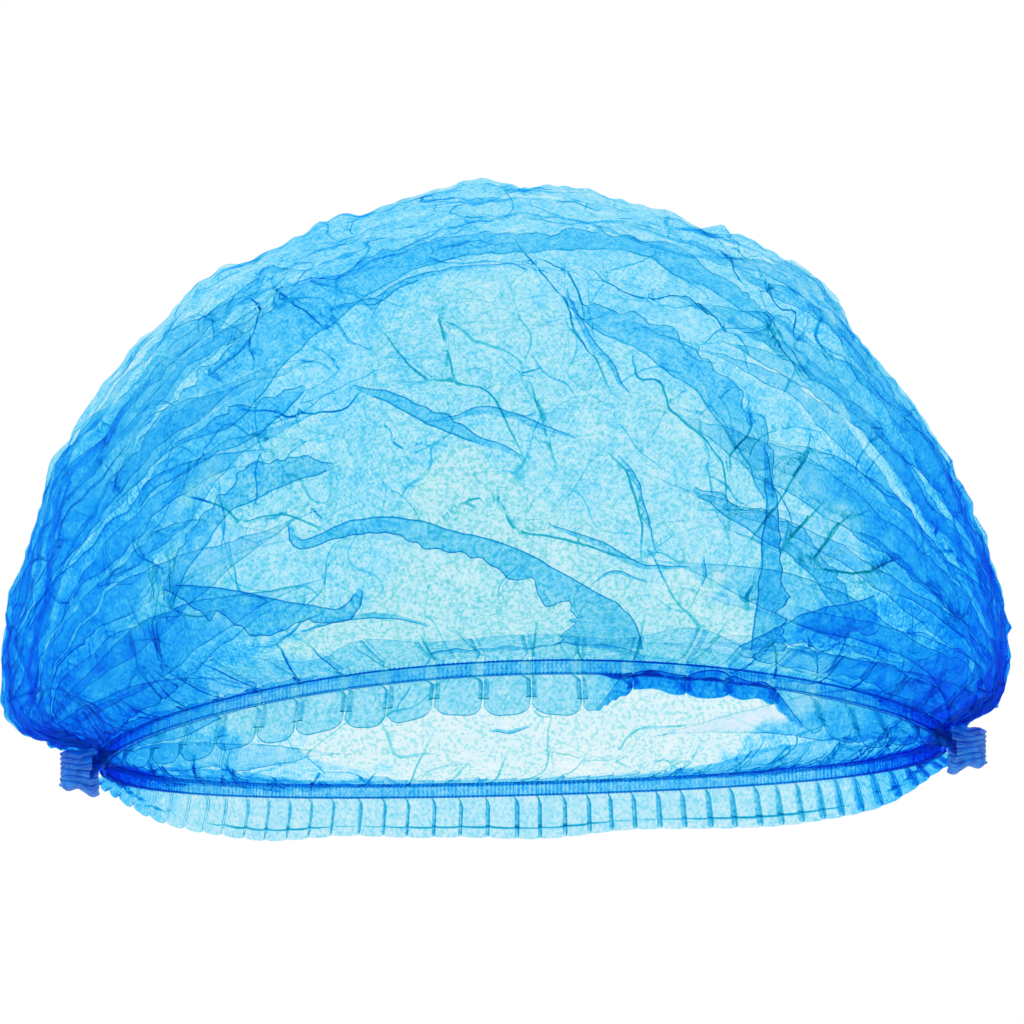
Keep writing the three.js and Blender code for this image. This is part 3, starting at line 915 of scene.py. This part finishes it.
def lay_tucks(name, side, tucks, small, seed):
    """The named tucks and a number of small ones, as one mesh."""
    strips = []
    for tuck in tucks:
        shares, at = chart_line(side, tuck["x"], tuck["h"])
        wide = np.maximum(0.3, bend_through(tuck["wide"], at)) * MM
        strips.append((shares, wide, tuck["lay"] * -side, tuck["thick"]))
    rng = np.random.default_rng(seed)
    for n in range(small):
        a, b = rng.uniform(0.12, 0.88), rng.uniform(0.06, 0.5)
        b = b if side < 0 else 1 - b
        way = rng.uniform(0, math.pi)
        long = rng.uniform(8, 26) * MM
        t = np.linspace(-0.5, 0.5, max(6, int(long / (1.2 * MM))))
        bow = rng.normal(0, 0.05) * (1 - 4 * t**2) + 0.03 * np.sin(9 * t + n)
        shares = short_line(a, b, way, long, t, bow)
        wide = rng.uniform(0.4, 1.0) * MM * (1 - 4 * t**2) ** 0.6 + 0.15 * MM
        strips.append((shares, wide, rng.choice([-1, 1]), 1.0))
    parts = []
    for n, (shares, wide, lay, thick) in enumerate(strips):
        points, edges = tuck_strip(shares, wide, lay, seed + n)
        if lay < 0:
            points, edges = points[::-1], edges[::-1]
        columns = np.arange(points.shape[1]) * 1.2 * MM
        flat = np.stack(np.meshgrid(columns, np.arange(2 * ACROSS) * 0.5 * MM), -1)
        # The tuck's fold edge gets a dark line: partly doubled fabric, partly painted shade.
        marks = {
            "edge": edges, "edge_ink_and_shade": 0.8 * smooth(0.3 * MM, 1.2 * MM, wide), "line": 1.0, "line_ink_and_shade": 0.0,
            "layers": 2.1 * thick, "single": 0.12,
        }
        parts.append(make_sheet(f"{name}_{n}", points, flat, marks))
    bpy.ops.object.select_all(action="DESELECT")
    for part in parts:
        part.select_set(True)
    bpy.context.view_layer.objects.active = parts[0]
    bpy.ops.object.join()
    whole = bpy.context.object
    whole.name = name
    whole.data.materials.append(fabric)
    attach(whole, "root")
    area = sum(polygon.area for polygon in whole.data.polygons)
    print(name, "has", len(strips), "tucks,", round(area * 1e4), "square cm of cloth")
    return whole


tucks_front = lay_tucks("tucks_front", -1, TUCKS, 14, 60)
tucks_back = lay_tucks("tucks_back", 1, BACK_TUCKS, 16, 70)

# %% [markdown]
# ## The hems
# Each long edge of the sheet is folded up inside and held by a line of welds above and below the elastic.
# So a hem is, from its raw edge: a flap inside the crown, the channel's inner wall, the ruffle's inner
# side, the fold at the bottom, the ruffle's outer side and the channel's outer wall. The elastic draws it
# together into pleats. In front they are box pleats, and at the back knife pleats, which all lie one way.

# %% Hem helpers
RUFFLE_HEIGHT = 11 * MM
RUFFLE_FLARE = 2.5 * MM
BOX = dict(
    turns=((0.0, 1), (0.975, 1), (0.88, 0), (1.10, -1), (1.0, 1)), steps=(24, 3, 6, 3), rise=2.6 * MM,
)
KNIFE = dict(turns=((0.0, -1), (1.17, 1), (1.0, -1)), steps=(24, 3), rise=0.7 * MM)
END_LOSS = 0.75  # the ruffle is this much shorter at the welds
LOSS_FROM, LOSS_TO = 62 * MM, 10 * MM
FINE_PITCH = 1.35 * MM  # of the small gathers the elastic makes
LINE_LOW = 0.75  # the channel's lower line of welds, as a share of its half height
PLEATED = {"inner wall": 0.35, "outer wall": 0.35, "join": 0.6}
HEM_ROWS = (
    ("flap", 1, 0.08, 8), ("inner wall", 1, -LINE_LOW, 5), ("inner ruffle", 0, 1, 9),
    ("outer ruffle", 1, 0, 9), ("outer wall", -LINE_LOW, 0.8, 4), ("join", 1, 1, 1),
)


def drift_along(at, size, seed):
    return drift(np.stack([at, 0 * at, 0 * at], -1), size, seed)


def hem_columns(length, pitch, pleat, seed):
    """Where each column lies along the elastic, its lift, how far to the next turn, and its corner."""
    marks = pleat_marks(length, pitch, seed)
    at, lift, turn, corner, even, fold_ink, spare = [], [], [], [], [], [], []
    for k in range(len(marks) - 1):
        wide = marks[k + 1] - marks[k]
        even.append(np.linspace(marks[k], marks[k + 1], sum(pleat["steps"]), endpoint=False))
        for (a, la), (b, lb), steps in zip(pleat["turns"], pleat["turns"][1:], pleat["steps"]):
            t = np.linspace(0, 1, steps, endpoint=False)
            at.append(marks[k] + (a + (b - a) * t) * wide)
            lift.append(la + (lb - la) * t)
            turn.append(np.minimum(t, 1 - t) * abs(b - a) * wide)
            corner.append(np.abs(2 * t - 1) if a == 0 else np.full(steps, 1.15))
            # A dark line along each pleat fold of the hem: partly doubled fabric, partly painted shade.
            fold_ink.append(1.0 * (t > 0.5) if a == 0 else np.zeros(steps))
            spare.append(np.full(steps, 1.0 if a == 0 else 0.5))
    at = [np.clip(np.concatenate(at), 0, length)]
    return [np.concatenate(v) for v in (at, lift, turn, corner, even, fold_ink, spare)]


def edge_frame(side):
    """Distance along a long edge of the mouth, its places, and its outward directions."""
    line = chart[:, 0 if side < 0 else -1] - np.array([0, 0, BAND_HEIGHT / 2])
    run = run_along(line)
    ahead = unit(np.gradient(line, axis=0))
    out = unit(np.cross(ahead, [0, 0, 1]) * (1 if side < 0 else -1))
    return run, line, out


def make_hem(name, side, pitch, pleat, flap, hem_line, seed, tuck=None):
    run, line, out = edge_frame(side)
    length = run[-1]
    at, lift, turn, corner, even, fold_ink, spare = hem_columns(length, pitch, pleat, seed)
    cloth = np.concatenate([[0], np.abs(np.diff(at)).cumsum()])
    half = BAND_HEIGHT / 2
    rows = []
    for kind, first, last, count in HEM_ROWS:
        rows += [(kind, share) for share in np.linspace(first, last, count)]
    end = np.minimum(at, length - at)
    shorter = 1 - END_LOSS * smooth(LOSS_FROM, LOSS_TO, end)
    tall = RUFFLE_HEIGHT * shorter * (1 + 0.05 * drift_along(at, 30 * MM, seed))
    tall = tall - pleat["rise"] * np.minimum(corner, 1.15) ** 4
    fine = np.sin(2 * math.pi * cloth / FINE_PITCH + 1.5 * np.sin(cloth / (3.1 * MM)))
    places, marks = [], {"edge": [], "edge_ink_and_shade": [], "line": [], "line_ink_and_shade": [], "layers": []}
    for kind, share in rows:
        if kind == "flap":
            u = even + (at - even) * 0.9
            uneven = 1 + 0.18 * drift_along(at, 22 * MM, seed + 7)
            tall_here = np.minimum(flap * uneven, 0.6 * end + 1 * MM)
            a = np.interp(u, run, CHART_SHARES)
            wide = np.interp(a, CHART_SHARES, girth)
            o = share * tall_here / wide
            o = o if side < 0 else 1 - o
            inset = 1.0 * MM + 0.45 * MM * share + 0.3 * MM * lift
            places.append(place_at(a, o) - outward_at(a, o) * inset[..., None])
            line_far, line_ink_and_shade, ink, more = (1 - share) * tall_here, 0.9, 1.6, 2.6
        else:
            pleated = PLEATED.get(kind, smooth(0, 0.2, share) * 0.65 + 0.35)
            u = even + (at - even) * pleated
            p = np.stack([np.interp(u, run, line[:, i]) for i in range(3)], -1)
            o = unit(np.stack([np.interp(u, run, out[:, i]) for i in range(3)], -1))
            sign = -1 if kind.startswith("inner") else 1
            if kind.endswith("ruffle"):
                down = half * LINE_LOW + share * tall
                spread = 0.45 * MM * (1 if share < 0.98 else 0.25)
                off = sign * spread + RUFFLE_FLARE * (share ** 1.3) + lift * (0.25 + 0.45 * share) * MM
                off = off + 0.25 * MM * fine * smooth(0.35, 0, share)
                if tuck:
                    fold = smooth(tuck["half"] * 1.15, tuck["half"] * 0.6, np.abs(at - tuck["at"]))
                    keep = 1 - 0.58 * fold
                    deep = share * tall
                    turned = np.where(deep > keep * tall, 2 * keep * tall - deep, deep)
                    off = off - np.where(deep > keep * tall, 1.6 * MM, 0) * fold
                    sag = 0.6 * MM * fold * drift(np.stack([at, deep, 0 * at], -1), 12 * MM, seed + 3)
                    down = half * LINE_LOW + turned + sag
                line_far = np.abs((1 - share) * tall - hem_line)
                line_ink_and_shade, ink, more = 1.1, 1.5, 1.55 + (4.2 * fold if tuck else 0)
                if share == 0:
                    line_far, line_ink_and_shade = 0, 0.9
            else:
                down = -half * share
                off = sign * (0.95 * MM if kind != "join" else 0.1 * MM) + 0.28 * MM * fine + 0.1 * MM * lift
                top = 1.0 if kind == "inner wall" else 0.8
                line_far = np.full_like(at, min(abs(share - top), abs(share + LINE_LOW)) * half)
                line_ink_and_shade, ink, more = 1.3, 0.3, 5.0 + 3.0 * fine
            if tuck and not kind.endswith("ruffle"):
                more = more + 2.2 * smooth(tuck["half"] * 1.15, tuck["half"] * 0.6, np.abs(at - tuck["at"]))
            sunk = np.array([0, 0, 1]) * np.broadcast_to(down, at.shape)[..., None]
            places.append(p + o * off[..., None] - sunk)
        for mark, value in zip(marks, (turn, ink * fold_ink, line_far, line_ink_and_shade, more * spare)):
            marks[mark].append(np.broadcast_to(value, at.shape))
    # Near the welds the hem bunches into more layers, and they are raised further there, most on the back hem:
    # partly real bunching, partly painted shadow of the crown on the ruffle's ends.
    near_weld = smooth(75 * MM, 8 * MM, np.where(at > length / 2, end, 1.3 * end))
    layers_and_shadow = 1 + (2.6 if side < 0 else 4.0) * near_weld
    marks["layers"] = [value * layers_and_shadow for value in marks["layers"]]
    places = np.array(places)
    top_row = np.zeros((1, len(at)))
    run_down = np.linalg.norm(np.diff(places, axis=0), axis=2).mean(1, keepdims=True).cumsum(0)
    deep = np.concatenate([top_row, run_down + top_row])
    flat = np.stack([np.broadcast_to(cloth, deep.shape) + side, deep], -1)
    if side > 0:
        places, flat = places[::-1], flat[::-1]
        marks = {mark: value[::-1] for mark, value in marks.items()}
    marks["single"] = singled(np.array(marks["layers"])) * 0.6
    piece = make_sheet(name, places, flat, {mark: np.array(value) for mark, value in marks.items()})
    piece.data.materials.append(fabric)
    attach(piece, "root")
    print(name, "pleats", round(length / pitch), "elastic line", round(length / MM), "mm")
    return piece


# %% The two hems
ROLLED = dict(at=197 * MM, half=27 * MM)
hem_front = make_hem("hem_front", -1, FRONT_PITCH, BOX, 17 * MM, 0.1 * MM, 3, tuck=ROLLED)
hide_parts("ruffle_front")
hem_back = make_hem("hem_back", 1, BACK_PITCH, KNIFE, 19 * MM, 2.8 * MM, 8)
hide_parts("ruffle_back")

# %% [markdown]
# ## The elastic
# Each channel holds a narrow flat elastic. It starts as a ring with half of it cut away, drawn up row by
# row into a band, laid on the mouth's line, and given a wall. Every other row stands 0.1 mm proud.

# %% Elastic bands
BAND_ROWS = 8
BAND_WALL = 0.5 * MM


def give_wall(piece, thickness):
    wall = piece.modifiers.new("wall", "SOLIDIFY")
    wall.thickness = thickness
    wall.offset = 0
    bpy.ops.object.modifier_apply(modifier="wall")


def finish_mesh(piece, finish):
    """Turns the faces of the active piece outwards, smooths them and gives them their finish."""
    bpy.ops.object.mode_set(mode="EDIT")
    bpy.ops.mesh.select_all(action="SELECT")
    bpy.ops.mesh.normals_make_consistent(inside=False)
    bpy.ops.object.mode_set(mode="OBJECT")
    bpy.ops.object.shade_smooth_by_angle(angle=math.radians(40))
    piece.data.materials.append(finish)


def elastic_band(name, node, side):
    bpy.ops.object.select_all(action="DESELECT")
    bpy.ops.mesh.primitive_circle_add(vertices=480, radius=1, fill_type="NOTHING")
    band = bpy.context.object
    band.name = name
    bpy.ops.object.mode_set(mode="EDIT")
    bpy.ops.mesh.select_all(action="DESELECT")
    bpy.ops.object.mode_set(mode="OBJECT")
    for vertex in band.data.vertices:
        vertex.select = vertex.co.y * side < 0.03
    bpy.ops.object.mode_set(mode="EDIT")
    bpy.ops.mesh.delete(type="VERT")
    bpy.ops.mesh.select_all(action="SELECT")
    for _ in range(BAND_ROWS):
        bpy.ops.mesh.extrude_region_move(TRANSFORM_OT_translate={"value": (0, 0, BAND_HEIGHT / BAND_ROWS)})
    bpy.ops.object.mode_set(mode="OBJECT")
    at = np.array([vertex.co for vertex in band.data.vertices])
    bearing = np.arctan2(at[:, 1], at[:, 0])
    row = np.round(at[:, 2] / BAND_HEIGHT * BAND_ROWS)
    rib = 0.1 * MM * (row % 2) + 0.12 * MM * np.sin(bearing * 210)
    laid = mouth_point(bearing, rib, BAND_HEIGHT * 0.42 - at[:, 2] * 0.84)
    band.data.vertices.foreach_set("co", laid.reshape(-1))
    give_wall(band, BAND_WALL)
    finish_mesh(band, elastic_finish)
    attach(band, "root")
    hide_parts(node)
    print(name, "has", len(band.data.polygons), "faces")


def mottled(name, roughness, alpha, scale, detail, colours, depth):
    """A half-clear finish, mottled between two colours, with a fine bump."""
    material = bpy.data.materials.new(name)
    material.use_nodes = True
    tree = material.node_tree
    shader = tree.nodes["Principled BSDF"]
    shader.inputs["Roughness"].default_value = roughness
    shader.inputs["Alpha"].default_value = alpha
    place = tree.nodes.new("ShaderNodeTexCoord")
    noise = tree.nodes.new("ShaderNodeTexNoise")
    noise.inputs["Scale"].default_value = scale
    noise.inputs["Detail"].default_value = detail
    tree.links.new(place.outputs["Object"], noise.inputs["Vector"])
    ramp = tree.nodes.new("ShaderNodeValToRGB")
    for element, (position, colour) in zip(ramp.color_ramp.elements, colours):
        element.position = position
        element.color = colour
    tree.links.new(noise.outputs["Fac"], ramp.inputs["Fac"])
    tree.links.new(ramp.outputs["Color"], shader.inputs["Base Color"])
    bump = tree.nodes.new("ShaderNodeBump")
    bump.inputs["Distance"].default_value = depth
    tree.links.new(noise.outputs["Fac"], bump.inputs["Height"])
    tree.links.new(bump.outputs["Normal"], shader.inputs["Normal"])
    return material


ELASTIC_COLOURS = ((0.35, (0.12, 0.48, 0.80, 1)), (0.65, (0.45, 0.80, 0.95, 1)))
elastic_finish = mottled("elastic_white", 0.6, 0.14, 900, 3, ELASTIC_COLOURS, 0.1 * MM)
elastic_band("band_front", "elastic_front", -1)
elastic_band("band_back", "elastic_back", 1)

# %% [markdown]
# ## The welds
# At each end all the pleats are pressed together and fused, and the tab is cut off with a pinking blade.
# It starts as a flat grid. Its rows are pressed into the ridges of the pleats, and then it gets a wall.

# %% Weld tabs
TAB_TEETH = 7
TAB_WALL = 1.5 * MM


def weld_tab(name, node, way):
    low, high = [np.array(v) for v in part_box(node)]
    middle, size = (low + high) / 2, high - low
    bpy.ops.object.select_all(action="DESELECT")
    bpy.ops.mesh.primitive_grid_add(x_subdivisions=30, y_subdivisions=56, size=1, rotation=(math.pi / 2, 0, 0))
    tab = bpy.context.object
    tab.name = name
    tab.scale = (size[0], size[2], 1)
    bpy.ops.object.transform_apply(location=True, rotation=True, scale=True)
    at = np.array([vertex.co for vertex in tab.data.vertices])
    out = (at[:, 0] * way / size[0]) + 0.5
    up = at[:, 2] / size[2] + 0.5
    tooth = np.abs((up * TAB_TEETH) % 1 - 0.5) * 2
    at[:, 0] -= way * out**6 * tooth * 1.6 * MM
    at[:, 2] *= 0.8 + 0.2 * np.cos(out * 2.2) + 0.1 * np.sin(out * 9)
    pleats = np.sin(up * 2 * math.pi * 6.5 + 1.2 * np.sin(out * 4))
    at[:, 1] += 0.55 * MM * pleats * (1.2 - 0.6 * out) + 0.6 * MM * np.sin(out * 5 + up * 3)
    at += middle
    tab.data.vertices.foreach_set("co", at.reshape(-1))
    give_wall(tab, TAB_WALL)
    edge = tab.modifiers.new("edge", "BEVEL")
    edge.width = 0.25 * MM
    edge.segments = 2
    bpy.ops.object.modifier_apply(modifier="edge")
    finish_mesh(tab, weld_finish)
    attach(tab, "root")
    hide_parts(node)
    print(name, "is", [round(v / MM, 1) for v in size], "mm")


WELD_COLOURS = ((0.35, (0.0, 0.12, 0.62, 1)), (0.7, (0.01, 0.32, 0.95, 1)))
weld_finish = mottled("weld_blue", 0.38, 0.8, 500, 4, WELD_COLOURS, 0.2 * MM)
weld_tab("weld_left", "seal_left", -1)
weld_tab("weld_right", "seal_right", 1)
